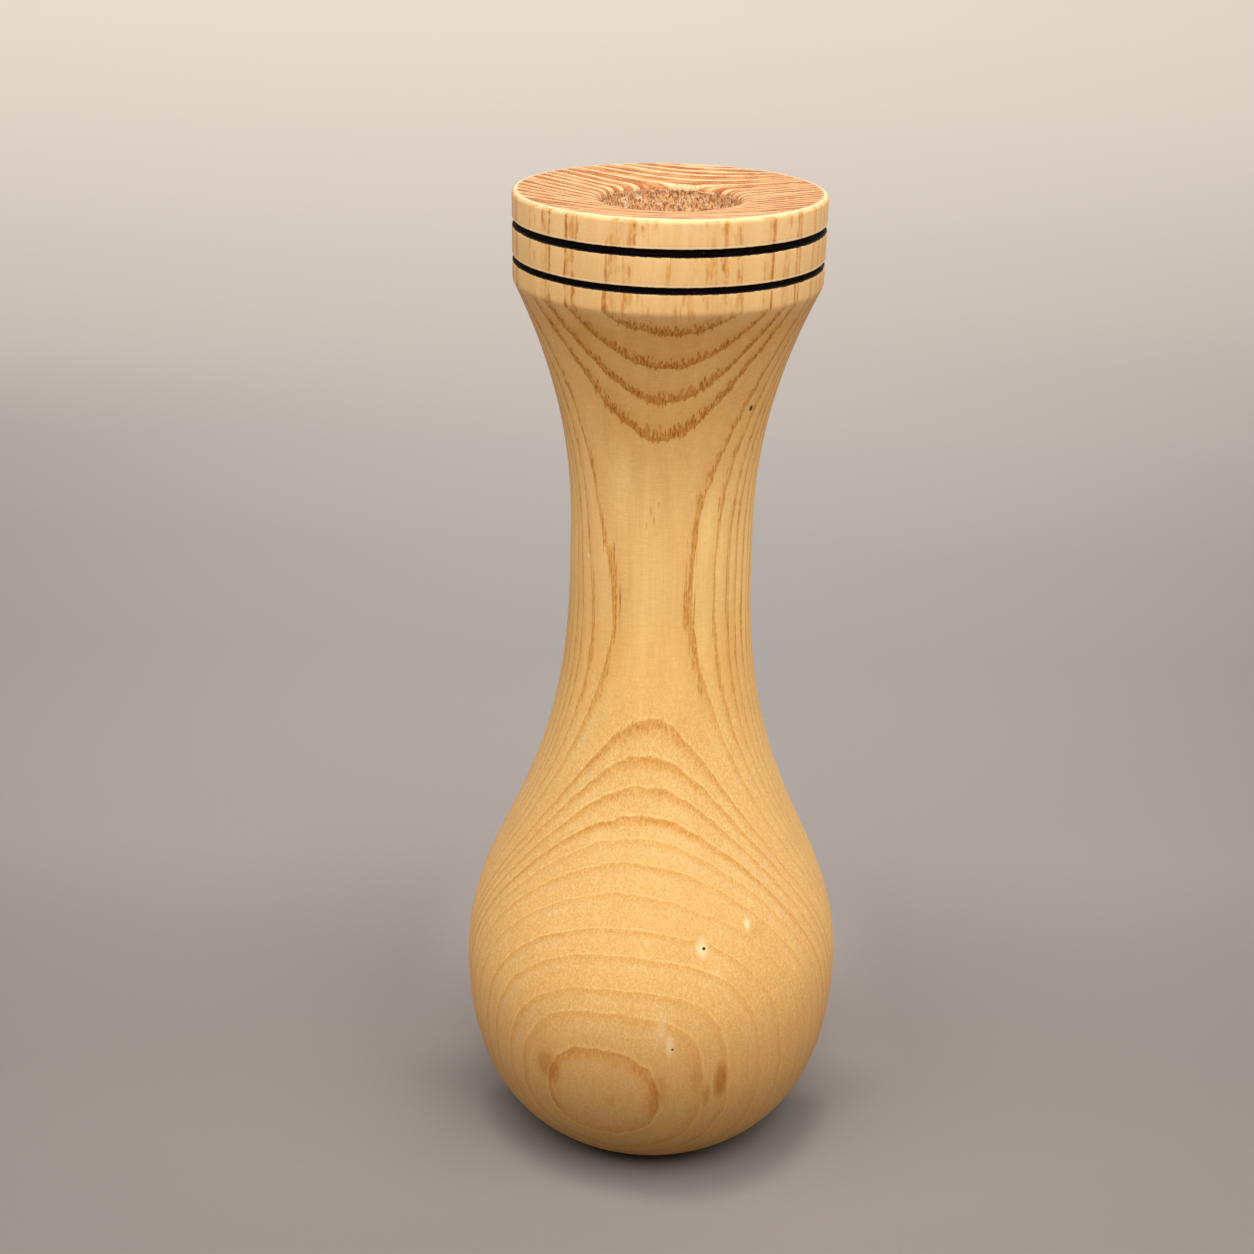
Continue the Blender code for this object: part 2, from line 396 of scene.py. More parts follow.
def cloud(tree, place, scale=1.0, detail=2.0, roughness=0.5, distortion=0.0):
    """Fractal noise, 0 to 1, about a half."""
    node = tree.nodes.new("ShaderNodeTexNoise")
    node.noise_dimensions = "3D"
    plug(tree, node.inputs["Vector"], place)
    node.inputs["Scale"].default_value = scale
    node.inputs["Detail"].default_value = detail
    node.inputs["Roughness"].default_value = roughness
    node.inputs["Distortion"].default_value = distortion
    return Field(tree, node.outputs["Fac"])


def cells(tree, place):
    """Voronoi cells: distance to the nearest centre, its random number and its place."""
    node = tree.nodes.new("ShaderNodeTexVoronoi")
    plug(tree, node.inputs["Vector"], place)
    node.inputs["Scale"].default_value = 1.0
    chance = parts_of(tree, node.outputs["Color"])[0]
    return Field(tree, node.outputs["Distance"]), chance, node.outputs["Position"]


def number_curve(field, knots):
    """Float Curve through knots, each from 0 to 1."""
    node = field.tree.nodes.new("ShaderNodeFloatCurve")
    plug(field.tree, node.inputs["Value"], field)
    line = node.mapping.curves[0]
    line.points[0].location = knots[0]
    line.points[1].location = knots[-1]
    for knot in knots[1:-1]:
        line.points.new(*knot)
    for point in line.points:
        point.handle_type = "VECTOR"
    node.mapping.update()
    return Field(field.tree, node.outputs[0])


def blend(tree, factor, first, second, mode="MIX"):
    """Mix two colours, each a socket or three linear numbers; the factor is held between 0 and 1."""
    node = tree.nodes.new("ShaderNodeMix")
    node.data_type = "RGBA"
    node.blend_type = mode
    plug(tree, node.inputs[0], factor)
    for target, value in ((node.inputs[6], first), (node.inputs[7], second)):
        plug(tree, target, (*value, 1.0) if isinstance(value, tuple) else value)
    return node.outputs[2]


def stained(tree, factor, base, colour):
    """Multiply a colour by another, as far as the factor says."""
    return blend(tree, factor, base, colour, "MULTIPLY")


def vector_node(tree, operation, first):
    node = tree.nodes.new("ShaderNodeVectorMath")
    node.operation = operation
    tree.links.new(first, node.inputs[0])
    return node


def tint(tree, colour, factor):
    """Multiply a colour or a place by a number."""
    node = vector_node(tree, "SCALE", colour)
    plug(tree, node.inputs["Scale"], factor)
    return node.outputs[0]


def shader_of(name, slot_colour):
    """New material with its tree and Principled shader."""
    material = bpy.data.materials.new(name)
    material.use_nodes = True
    material.diffuse_color = (*slot_colour, 1.0)
    tree = material.node_tree
    return material, tree, tree.nodes["Principled BSDF"]


def fill(tree, shader, **values):
    """Set or link inputs of a shader, named with _ for each space."""
    for name, value in values.items():
        plug(tree, shader.inputs[name.replace("_", " ")], value)


def bump(tree, shader, height, distance):
    """Relief too fine for the mesh, as a height in metres times the field."""
    node = tree.nodes.new("ShaderNodeBump")
    node.inputs["Strength"].default_value = 1.0
    node.inputs["Distance"].default_value = distance
    plug(tree, node.inputs["Height"], height)
    tree.links.new(node.outputs[0], shader.inputs["Normal"])


def millimetres(tree):
    """Place on the piece at rest, in millimetres."""
    return tint(tree, tree.nodes.new("ShaderNodeTexCoord").outputs["Object"], 1000.0)


# Wood

def ring_coordinate(x, y, z):
    """How far a point lies towards the bark, in millimetres."""
    c = z - GRAIN_MIDDLE
    cc = c * c
    behind = y + LEAN_ACROSS * x + LEAN_UP * c
    behind = behind + x * x * (CUP + CUP_UP * c)
    behind = behind + x * c * TURN + x * cc * TURN_UP
    behind = behind + cc * (BOW + BOW_UP * c)
    behind = behind + y * c * (SPREAD + SPREAD_ACROSS * x)
    return 0.0 - behind


def ring_edges():
    """Ring coordinates at which the years start, the hidden ones at the back drawn by chance."""
    draw = random.Random(4)
    edges = list(RING_EDGES)
    while edges[0] > -RING_REACH:
        edges.insert(0, edges[0] - HIDDEN_RING_SPACING * draw.uniform(0.72, 1.28))
    return [-RING_REACH] + [e for e in edges if e > -RING_REACH] + [RING_REACH]


def share_of(coordinate):
    """Ring coordinate as a share of the whole trunk, 0 to 1."""
    return (coordinate + RING_REACH) / (2 * RING_REACH)


def rings_at(coordinate):
    """Millimetres since the last year's edge and up to the next one."""
    edges = ring_edges()
    years = len(edges) - 1
    knots = [(share_of(e), i / years) for i, e in enumerate(edges)]
    year = combine(coordinate.tree, "FLOOR", number_curve(share_of(coordinate), knots) * float(years))
    back = [(i / years, share_of(e)) for i, e in enumerate(edges)]
    last = number_curve(year / float(years), back) * (2 * RING_REACH) - RING_REACH
    following = number_curve((year + 1.0) / float(years), back) * (2 * RING_REACH) - RING_REACH
    return larger(coordinate - last, 0.0), larger(following - coordinate, 0.0)


def strength_of(coordinate):
    """How strongly the year at a ring coordinate shows."""
    return number_curve(share_of(coordinate), [(share_of(u), s) for u, s in RING_STRENGTHS])


def spot(tree, mm, centre, reach, edge):
    """1 at a centre, falling smoothly to 0 at its three reaches, all in millimetres."""
    offset = vector_node(tree, "SUBTRACT", mm)
    offset.inputs[1].default_value = centre
    scaled = vector_node(tree, "DIVIDE", offset.outputs[0])
    scaled.inputs[1].default_value = reach
    length = vector_node(tree, "LENGTH", scaled.outputs[0])
    return ramp(Field(tree, length.outputs["Value"]), 1.0, edge)


def on_side(angle, height):
    """Point on the outside, by its angle from the front and its height, in millimetres."""
    radius = 1000.0 * radius_at(height / 1000.0)
    turn = math.radians(angle)
    return (radius * math.sin(turn), -radius * math.cos(turn), height)


def most(fields):
    """Largest of several fields."""
    result = fields[0]
    for field in fields[1:]:
        result = larger(result, field)
    return result


def colour_curve(field, stops):
    """Colour that changes as the field passes the (place, colour) stops."""
    low = stops[0][0]
    high = stops[-1][0]
    node = field.tree.nodes.new("ShaderNodeValToRGB")
    plug(field.tree, node.inputs["Fac"], (field - low) / (high - low))
    elements = node.color_ramp.elements
    shares = [((at - low) / (high - low), (*colour, 1.0)) for at, colour in stops]
    elements[0].position, elements[0].color = shares[0]
    elements[1].position, elements[1].color = shares[-1]
    for share, colour in shares[1:-1]:
        elements.new(share).color = colour
    return node.outputs["Color"]


class Wood:
    """Fields that all parts of the wood's pattern share, in millimetres."""

    def __init__(self, tree):
        self.tree = tree
        self.mm = millimetres(tree)
        self.x, self.y, self.z = parts_of(tree, self.mm)
        self.facing_up = parts_of(tree, tree.nodes.new("ShaderNodeTexCoord").outputs["Normal"])[2]
        self.radius = combine(tree, "SQRT", self.x * self.x + self.y * self.y)
        slow = self.grain(22.0, 22.0, 22.0)
        wiggle = self.grain(2.6, 2.6, 8.0)
        sway = self.grain(7.0, 7.0, 8.0) * ramp(self.z, 110.0, 80.0)
        self.ring = ring_coordinate(self.x, self.y, self.z) + slow * 0.5 + wiggle * 0.45 + sway * 0.55
        for angle, height, wide, tall, lift in RING_BULGES + KNOT_BULGES:
            bulge = spot(tree, self.mm, on_side(angle, height), (wide, wide, tall), 0.0)
            self.ring = self.ring + bulge * lift
        self.since, self.until = rings_at(self.ring)
        self.strength = strength_of(self.ring)
        self.fibre = self.along_grain(0.26, 9.0)
        self.streak = self.along_grain(0.9, 45.0)
        self.band = self.along_grain(2.4, 80.0)
        self.mottle = self.grain(9.0, 9.0, 30.0)
        self.on_neck = ramp(self.z, 98.0, 130.0)
        self.on_waist = ramp(self.z, 112.0, 126.0) * ramp(self.z, 178.0, 166.0)
        self.on_rim = ramp(self.z, 195.5, 198.5)

    def grain(self, across, deep, up, detail=2.0, roughness=0.5, distortion=0.0):
        """Noise about 0 whose lumps have these sizes."""
        place = vector(self.tree, self.x / across, self.y / deep, self.z / up)
        return cloud(self.tree, place, 1.0, detail, roughness, distortion) - 0.5

    def along_grain(self, across, up):
        """Noise about 0 that follows the rings and the grain."""
        return cloud(self.tree, vector(self.tree, self.x / across, self.ring / across, self.z / up)) - 0.5

    def marks(self, places, edge):
        """Largest of a list of spots on the side, each at its strength."""
        spots = []
        for angle, height, wide, tall, strength in places:
            centre = on_side(angle, height)
            spots.append(spot(self.tree, self.mm, centre, (wide, wide, tall), edge) * strength)
        return most(spots)


def vessels(wood):
    """Serrated belt of long vessels after each year's edge, and the rims of the open ones in it."""
    tree = wood.tree
    place = vector(tree, wood.x / PORE_ACROSS, wood.ring / PORE_DEPTH, wood.z / PORE_LENGTH)
    distance, chance, centre = cells(tree, place)
    own = parts_of(tree, centre)[1] * PORE_DEPTH
    since = rings_at(own)[0]
    thinner = wood.on_waist * ramp(wood.x, -4.0, 5.0, 0.5, 0.08)
    reach = since * (1.0 + thinner) - chance * PORE_BELT_FADE
    belt = ramp(reach, PORE_BELT, PORE_BELT - 0.06) * strength_of(own)
    belt = larger(belt, ramp(wood.since, 0.20, 0.14) * ramp(wood.since, 0.0, 0.03) * wood.strength)
    rim = ramp(distance, 0.58, 0.40) * ramp(distance, 0.05, 0.30, 0.35, 1.0)
    return belt, rim * belt


def warmed(tree, base, change, red=0.6, blue=1.35):
    """Brighter or darker by a small share; red follows less and blue more, as in oiled wood."""
    share = vector(tree, 1.0 + change * red, 1.0 + change, 1.0 + change * blue)
    return stained(tree, 1.0, base, share)


def plain_wood(wood):
    """Honey wood between the rings: its tone by height with painted shade, painted shade on the neck's
    sides, fibres, turning lines and fine pale squiggles.
    """
    tree = wood.tree
    belly = 1.0 - wood.on_neck
    low = ramp(wood.z, 50.0, 36.0)
    squiggle = ramp(size_of(wood.grain(0.58, 0.58, 0.95, 1.0, 0.5, 0.7)), 0.09, 0.02) - 0.35
    turning = wood.grain(2.4, 2.4, 0.24, 1.0)
    change = wood.mottle * 0.16 + wood.streak * 0.09 + wood.band * (0.10 + wood.on_neck * 0.16)
    change = change + wood.fibre * (0.08 + low * 0.12 + (wood.on_neck - wood.on_rim) * 0.16)
    change = change + turning * (wood.on_neck - wood.on_rim * 0.6) * 0.24
    change = change + squiggle * (0.04 + belly * 0.17 - low * 0.06)
    # Painted shade: the neck darkens towards its sides and back, most on the left.
    painted_neck_shade = ramp(wood.y, -15.0, -4.0) * ramp(wood.z, 95.0, 125.0) * ramp(wood.x, 8.0, -8.0, 0.02, 0.16)
    # The colour by height is partly the wood's tone and partly painted shade under the belly and under the
    # rim's corner.
    plain = tint(tree, colour_curve(wood.z, WOOD_TONES_AND_SHADE), 1.0 - painted_neck_shade)
    return warmed(tree, plain, change)


def soft_bands(wood, base):
    """Brown early wood and milky late wood where the turned surface runs along the rings."""
    tree = wood.tree
    belly = 1.0 - wood.on_neck
    ticks = wood.along_grain(0.50, 2.8)
    calm = ramp(wood.x, 8.0, 26.0, 1.0, 0.55)
    eye = ramp(wood.z, 60.0, 50.0) * ramp(wood.ring, 51.2, 51.3) * ramp(wood.z, 15.0, 27.0, 0.30, 0.75)
    fade = ramp(wood.since, 0.0, 0.16) * ramp(wood.since, 1.25, 0.22) * wood.strength * calm
    ringed = eye * ramp(wood.since, 0.85, 0.12) * ramp(wood.since, 0.0, 0.05)
    fade = larger(fade, ringed * (1.1 + ticks * 2.0))
    fade = fade * (0.85 + wood.streak * 1.2 + wood.mottle * 1.6 + ticks * 1.8)
    fade = fade * ramp(wood.ring, 26.9, 27.4, 0.70, 1.0)
    base = stained(tree, fade * belly, base, BELLY_BROWN)
    neck = ramp(wood.since, 1.5, 0.2) * wood.strength * (wood.on_neck - wood.on_rim)
    base = stained(tree, neck * 0.6, base, NECK_BROWN)
    milky = ramp(wood.since, 0.45, 1.0) * ramp(wood.since, 2.3, 1.3) * belly * (0.6 + wood.mottle * 2.4)
    base = stained(tree, milky * 0.8, base, LATE_MILKY)
    thread = ramp(wood.until, 0.26, 0.05) * belly * (0.75 + ticks * 2.0) * calm
    return stained(tree, thread, base, YEAR_END_PALE)


def rim_streaks(wood, base):
    """Patchy brown streaks with thin dark edges on the rim band."""
    tree = wood.tree
    patch = wood.grain(1.3, 1.3, 2.6)
    uneven = wood.streak * 4.0 + patch * 2.6
    soft = ramp(wood.since, 0.0, 0.20) * ramp(wood.since, 1.1, 0.5) * wood.strength
    soft = soft * wood.on_rim * (0.42 + uneven)
    base = stained(tree, soft, base, RIM_BROWN)
    stain = ramp(wood.grain(1.2, 60.0, 7.0), 0.0, 0.13) * ramp(wood.ring, 28.0, 28.3) * wood.on_rim
    base = stained(tree, stain * (0.8 + patch * 2.0), base, RIM_STAIN)
    edge = ramp(size_of(wood.since - 0.10 - patch * 0.4), 0.18, 0.04) * wood.strength
    second = ramp(size_of(wood.since - 0.75 - patch * 0.6), 0.12, 0.03) * wood.strength * 0.8
    edge = larger(edge, second) * wood.on_rim * (0.35 + uneven)
    return stained(tree, edge, base, RIM_DARK)


def side_grain(wood, belt, hole):
    """Plain wood with the years' brown belts and their open vessels."""
    tree = wood.tree
    belly = 1.0 - wood.on_neck
    ticks = wood.along_grain(0.34, 1.5)
    base = rim_streaks(wood, soft_bands(wood, plain_wood(wood)))
    shoulder = ramp(wood.z, 78.0, 96.0) * belly
    show = 0.08 + shoulder * 0.10 + wood.on_neck * 0.85 - wood.on_rim * 0.88
    base = stained(tree, belt * show, base, BELT_BROWN)
    dark = ramp(ticks, -0.06, 0.06) * hole
    shown = show + shoulder * 0.12 + wood.on_rim * 0.1
    base = stained(tree, dark * shown, base, VESSEL_DARK)
    pale = ramp(ticks, -0.10, -0.18) * belt
    return stained(tree, pale * shown, base, VESSEL_PALE)


def marked(wood, base):
    """Knots and flecks, and bright golden zones of painted highlight on the neck."""
    tree = wood.tree
    # Painted highlights in golden zones on the neck.
    base = stained(tree, wood.marks(GOLDEN_HIGHLIGHT_ZONES, 0.0), base, GOLDEN_HIGHLIGHT)
    dark = wood.marks(DARK_FLECKS, 0.25) * (0.75 + wood.fibre * 1.2)
    base = stained(tree, dark, base, FLECK_DARK)
    base = stained(tree, wood.marks(ORANGE_SPOTS, 0.2), base, ORANGE)
    base = blend(tree, wood.marks(KNOT_HALOS + PALE_FLECKS, 0.0), base, HALO_CREAM)
    return blend(tree, wood.marks(PIN_KNOTS, 0.5), base, KNOT_BROWN)


def end_grain(wood):
    """Dished top: orange-brown, each year a dark line and then a pale one, and a painted highlight along
    its outer edge.
    """
    tree = wood.tree
    speckle = wood.grain(0.40, 0.40, 2.0)
    blotch = wood.grain(3.5, 3.5, 9.0)
    fine = cloud(tree, vector(tree, wood.ring / 0.42, wood.x / 14.0, 0.0), 1.0, 1.0) - 0.5
    broad = cloud(tree, vector(tree, wood.ring / 1.3, wood.x / 16.0, 4.0), 1.0, 1.0) - 0.5
    rough = ramp(speckle * 0.8 + blotch * 0.9 + fine * 0.7 + broad * 0.8, -0.22, 0.22)
    base = blend(tree, rough, END_DARK, END_PLAIN)
    base = blend(tree, ramp(wood.until, 0.8, 0.1) * 0.6, base, END_LINE)
    pale = ramp(wood.since, 0.95, 0.55) * (0.85 + speckle * 1.8 + blotch * 1.0)
    pale = larger(pale, ramp(fine + broad * 0.8, 0.12, 0.24) * (0.7 + speckle * 1.5))
    base = blend(tree, pale, base, END_PALE)
    sides = ramp(size_of(wood.x), 11.0, 24.0) * ramp(wood.x, -4.0, 4.0, 0.8, 1.0)
    base = stained(tree, sides, base, END_SIDES)
    # Painted highlight along the top's rounded outer edge.
    edge = ramp(wood.radius, RIM_MM - 1.4, RIM_MM - 0.7)
    return blend(tree, edge * 0.7, base, END_EDGE_HIGHLIGHT)


def torn_bore(wood):
    """Torn grain down the drilled bore, and its relief."""
    tree = wood.tree
    torn = cloud(tree, vector(tree, wood.x / 0.42, wood.y / 0.42, wood.z / 0.75), 1.0, 2.0, 0.6, 0.6)
    flecks = ramp(cloud(tree, wood.mm, 0.8, 2.0, 0.6, 1.0), 0.58, 0.66)
    base = blend(tree, ramp(torn, 0.36, 0.60), BORE_DARK, BORE_PALE)
    return blend(tree, flecks * 0.8, base, BORE_FLECK), torn


def burnt_edges(wood, colour):
    """Painted cream highlights on the upper lips, and ragged black walls of the burnt lines."""
    tree = wood.tree
    ragged = wood.grain(0.7, 0.7, 0.7, 3.0, 0.6)
    burnt = []
    for drop, width in BURNT_LINES:
        middle = 1000.0 * (HEIGHT - drop)
        half = 500.0 * width
        away = size_of(wood.z - middle)
        # Painted highlight along the upper lip of each burnt line.
        lip = ramp(size_of(wood.z - (middle + half + 0.35)), 0.30, 0.05)
        lip_highlight = lip * 0.5 * ramp(wood.radius, RIM_MM - 1.0, RIM_MM - 0.3)
        colour = blend(tree, lip_highlight, colour, LIP_HIGHLIGHT_CREAM)
        burnt.append(ramp(away + ragged * 0.30, half + 0.16, half + 0.02))
        walls = ramp(wood.radius, RIM_MM - 0.05, RIM_MM - 0.20)
        burnt.append(ramp(away, half + 0.08, half + 0.05) * walls)
    black = most(burnt) * ramp(wood.radius, RIM_MM - 3.0, RIM_MM - 2.4)
    return blend(tree, black, colour, BURNT_BLACK), black


def wood_material():
    """Oiled ash: side grain, end grain on the dished top, torn grain in the bore, burnt grooves."""
    material, tree, shader = shader_of("honey_wood", (0.80, 0.46, 0.17))
    wood = Wood(tree)
    belt, hole = vessels(wood)
    side = marked(wood, side_grain(wood, belt, hole))
    inner = ramp(wood.radius, 22.0, 21.0) * ramp(wood.z, 200.0, 202.0)
    on_end = larger(ramp(wood.facing_up, 0.72, 0.92), inner)
    colour = blend(tree, on_end, side, end_grain(wood))
    bore, torn = torn_bore(wood)
    in_bore = ramp(wood.radius, BORE_MM + 0.9, BORE_MM + 0.6)
    in_bore = in_bore * ramp(wood.z + torn * 0.8, MOUTH_MM + 0.55, MOUTH_MM + 0.15)
    colour, black = burnt_edges(wood, blend(tree, in_bore, colour, bore))
    rough = 0.52 + wood.fibre * 0.2 + hole * 0.12 + black * 0.2
    fill(tree, shader, Base_Color=colour, Roughness=rough, IOR=1.45, Specular_IOR_Level=0.3)
    bump(tree, shader, wood.fibre * 0.25 - hole * 0.5 + in_bore * torn * 6.0, 0.00004)
    return material


# Shapes

def arc(centre, radius, start, end, count):
    """Points (radius, height) along a circular arc, from one angle to another in degrees."""
    points = []
    for i in range(count + 1):
        angle = math.radians(start + (end - start) * i / count)
        points.append((centre[0] + radius * math.cos(angle), centre[1] + radius * math.sin(angle)))
    return points


def curve(start, start_pull, end_pull, end, count):
    """Points along a cubic curve whose ends leave towards the two pulls."""
    points = []
    for i in range(count + 1):
        t = i / count
        s = 1.0 - t
        weights = (s ** 3, 3 * s * s * t, 3 * s * t * t, t ** 3)
        corners = (start, start_pull, end_pull, end)
        points.append(tuple(sum(w * c[k] for w, c in zip(weights, corners)) for k in (0, 1)))
    return points


def line(start, end, step):
    """Evenly spaced points from just after start up to end."""
    count = max(1, round(math.dist(start, end) / step))
    return [tuple(a + (b - a) * i / count for a, b in zip(start, end)) for i in range(1, count + 1)]


def side_outline():
    """Rim band's corner, flare, neck, belly and foot, from the top down."""
    flare = (math.cos(math.radians(FLARE_ANGLE)), math.sin(math.radians(FLARE_ANGLE)))
    corner = (RIM_RADIUS - BAND_CORNER_ROUND * flare[0],
              BAND_CORNER_HEIGHT - BAND_CORNER_ROUND * flare[1])
    flare_span = BAND_CORNER_HEIGHT - NECK_HEIGHT
    flare_pull = (corner[0] - FLARE_SHARE * flare_span * flare[0],
                  corner[1] - FLARE_SHARE * flare_span * flare[1])
    above_neck = (NECK_RADIUS, NECK_HEIGHT + ABOVE_NECK_SHARE * flare_span)
    band_corner = (RIM_RADIUS, BAND_CORNER_HEIGHT)
    band_end = (RIM_RADIUS, BAND_CORNER_HEIGHT + BAND_CORNER_ROUND)
    neck = (NECK_RADIUS, NECK_HEIGHT)
    points = curve(band_end, band_corner, band_corner, corner, 6)
    points += curve(corner, flare_pull, above_neck, neck, FLARE_STEPS)[1:]

    body_span = NECK_HEIGHT - BELLY_HEIGHT
    below_neck = (NECK_RADIUS, NECK_HEIGHT - BELOW_NECK_SHARE * body_span)
    over_belly = (BELLY_RADIUS, BELLY_HEIGHT + OVER_BELLY_SHARE * body_span)
    belly = (BELLY_RADIUS, BELLY_HEIGHT)
    points += curve(neck, below_neck, over_belly, belly, WAIST_STEPS)[1:]

    foot_span = BELLY_HEIGHT - FOOT_HEIGHT
    foot_angle = math.radians(FOOT_CURVE_ANGLE)
    foot_pull = (FOOT_RADIUS + FOOT_CURVE_SHARE * foot_span * math.cos(foot_angle),
                 FOOT_HEIGHT + FOOT_CURVE_SHARE * foot_span * math.sin(foot_angle))
    under_belly = (BELLY_RADIUS, BELLY_HEIGHT - UNDER_BELLY_SHARE * foot_span)
    points += curve(belly, under_belly, foot_pull, (FOOT_RADIUS, FOOT_HEIGHT), FLARE_STEPS)[1:]
    return points


SIDE = side_outline()


def radius_at(height):
    """Radius of the outside at a height."""
    for (r0, z0), (r1, z1) in zip(SIDE, SIDE[1:]):
        if z1 <= height <= z0:
            return r0 + (r1 - r0) * (height - z0) / (z1 - z0)
    return RIM_RADIUS


def groove_outline(drop, width):
    """Burnt line's groove with softened lips, from its upper lip down."""
    top = HEIGHT - drop + width / 2
    bottom = top - width
    floor_radius = RIM_RADIUS - LINE_DEPTH
    lip = LINE_LIP_ROUND
    points = arc((RIM_RADIUS - lip, top + lip), lip, 0, -90, 4)
    points += line(points[-1], (floor_radius, top), FINE_ROWS)
    points += line(points[-1], (floor_radius, bottom), FINE_ROWS)
    points += line(points[-1], (RIM_RADIUS - lip, bottom), FINE_ROWS)
    points += arc((RIM_RADIUS - lip, bottom - lip), lip, 90, 0, 4)[1:]
    return points


def body_outline():
    """Whole section of the wood: bore, mouth, outside, foot and the pad's recess."""
    points = [(0.0, BORE_FLOOR_HEIGHT - SPUR_DEPTH), (SPUR_RADIUS, BORE_FLOOR_HEIGHT)]
    points += line(points[-1], (BORE_RADIUS, BORE_FLOOR_HEIGHT), FLAT_ROWS)
    points += line(points[-1], (BORE_RADIUS, BORE_MOUTH_HEIGHT - TORN_DEPTH), BORE_ROWS)
    points += line(points[-1], (BORE_RADIUS, BORE_MOUTH_HEIGHT), FINE_ROWS)
    inner = BORE_RADIUS + MOUTH_ROLL_WIDTH
    for i in range(1, MOUTH_ROLL_STEPS + 1):
        turn = math.radians(180.0 - ROLL_ANGLE * i / MOUTH_ROLL_STEPS)
        points.append((inner + MOUTH_ROLL_WIDTH * math.cos(turn),
                       BORE_MOUTH_HEIGHT + MOUTH_ROLL * math.sin(turn)))
    outer = RIM_RADIUS - RIM_EDGE_ROUND
    for i in range(1, DISH_STEPS + 1):
        share = DISH_SHARE * (1.0 - i / DISH_STEPS)
        points.append((outer + (inner - outer) * share, HEIGHT - DISH_DEPTH * share ** DISH_POWER))
    points += arc((outer, HEIGHT - RIM_EDGE_ROUND), RIM_EDGE_ROUND, ROLL_ANGLE, 0, 8)
    for drop, width in BURNT_LINES:
        groove = groove_outline(drop, width)
        points += line(points[-1], groove[0], CLOSE_ROWS) + groove[1:]
    points += line(points[-1], SIDE[0], CLOSE_ROWS)
    points += SIDE[1:]
    recess_radius = PAD_HIGH.x + RECESS_GAP
    recess_ceiling = PAD_HIGH.z + RECESS_GAP
    points += line(points[-1], (recess_radius, FOOT_HEIGHT), FOOT_ROWS)
    points += line(points[-1], (recess_radius, recess_ceiling), FOOT_ROWS)
    points += line(points[-1], (0.0, recess_ceiling), BORE_ROWS)
    return points


def turned_mesh(name, outline, steps, shift=None, closed=False):
    """Mesh of revolution from an outline that runs down its outer side.
    shift moves a point, given its radius, height and angle."""
    places = []
    rows = []
    for radius, height in outline:
        if radius < SAME_PLACE:
            rows.append([len(places)] * steps)
            places.append((0.0, 0.0, height))
            continue
        row = []
        for j in range(steps):
            angle = 2 * math.pi * j / steps
            r, z = (radius, height) if shift is None else shift(radius, height, angle)
            row.append(len(places))
            places.append((r * math.cos(angle), r * math.sin(angle), z))
        rows.append(row)
    faces = []
    pairs = list(zip(rows, rows[1:]))
    if closed:
        pairs.append((rows[-1], rows[0]))
    for upper, lower in pairs:
        for j in range(steps):
            k = (j + 1) % steps
            corners = [upper[j], lower[j], lower[k], upper[k]]
            face = [c for i, c in enumerate(corners) if c not in corners[:i]]
            if len(face) > 2:
                faces.append(face)
    mesh = bpy.data.meshes.new(name)
    mesh.from_pydata(places, [], faces)
    mesh.update()
    mesh.shade_smooth()
    mesh.set_sharp_from_angle(angle=math.radians(SHARP_ANGLE))
    return mesh


def piece(name, mesh, material, body, slot, *nodes):
    """Object on a CAD body that stands for CAD nodes."""
    made = bpy.data.objects.new(name, mesh)
    bpy.context.scene.collection.objects.link(made)
    mesh.materials.append(material)
    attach(made, body)
    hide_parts(*nodes)
    return made


def on_circle(angle, height, lump_size):
    """Noise place on the rim's circle, for lumps of a size around it and along the vase."""
    around, along = lump_size
    across = RIM_RADIUS * math.cos(angle)
    deep = RIM_RADIUS * math.sin(angle)
    return Vector((across / around, deep / around, height / along))


def body_shift(radius, height, angle):
    """Torn grain down the bore and slightly ragged groove lips."""
    torn = BORE_MOUTH_HEIGHT - TORN_DEPTH < height < BORE_MOUTH_HEIGHT - FINE_ROWS
    if torn and radius < BORE_RADIUS + SAME_PLACE:
        across = 1000 * BORE_RADIUS / TORN_ACROSS
        place = Vector((math.cos(angle) * across, math.sin(angle) * across, height * 1000 / TORN_ALONG))
        coarse = max(0.0, noise.noise(place) + 0.15)
        fine = noise.noise(place * 3.1) * 0.5 + 0.5
        return radius + TORN_RELIEF * min(1.0, coarse + 0.35 * fine), height
    for drop, width in BURNT_LINES:
        offset = height - (HEIGHT - drop)
        if abs(offset) < width / 2 + 0.0003 and radius > RIM_RADIUS - LINE_DEPTH - SAME_PLACE:
            lip = drop + math.copysign(width, offset)
            ragged = noise.noise(on_circle(angle, lip, LIP_LUMP_SIZE))
            slow = noise.noise(on_circle(angle, lip + 0.5, LIP_WAVE_SIZE))
            return radius, height + math.copysign(1.0, offset) * (LIP_RELIEF * ragged + LIP_RELIEF * slow)
    return radius, height


def make_body():
    mesh = turned_mesh("turned_body", body_outline(), BODY_STEPS, body_shift)
    piece("turned_body", mesh, wood_material(), "vase", "honey_wood", "vase_body")


def char_material():
    """Matt black char with a little ash."""
    material, tree, shader = shader_of("char", (0.012, 0.009, 0.008))
    mm = millimetres(tree)
    flake = cloud(tree, mm, 2.6, 3.0, 0.6)
    ash = ramp(cloud(tree, mm, 1.3, 2.0, 0.6), 0.62, 0.74)
    colour = blend(tree, flake, (0.0015, 0.0006, 0.0003), (0.009, 0.004, 0.002))
    colour = blend(tree, ash * 0.4, colour, (0.09, 0.06, 0.05))
    fill(tree, shader, Base_Color=colour, Roughness=0.80 - ash * 0.35, Specular_IOR_Level=0.06)
    bump(tree, shader, flake, 0.0002)
    return material


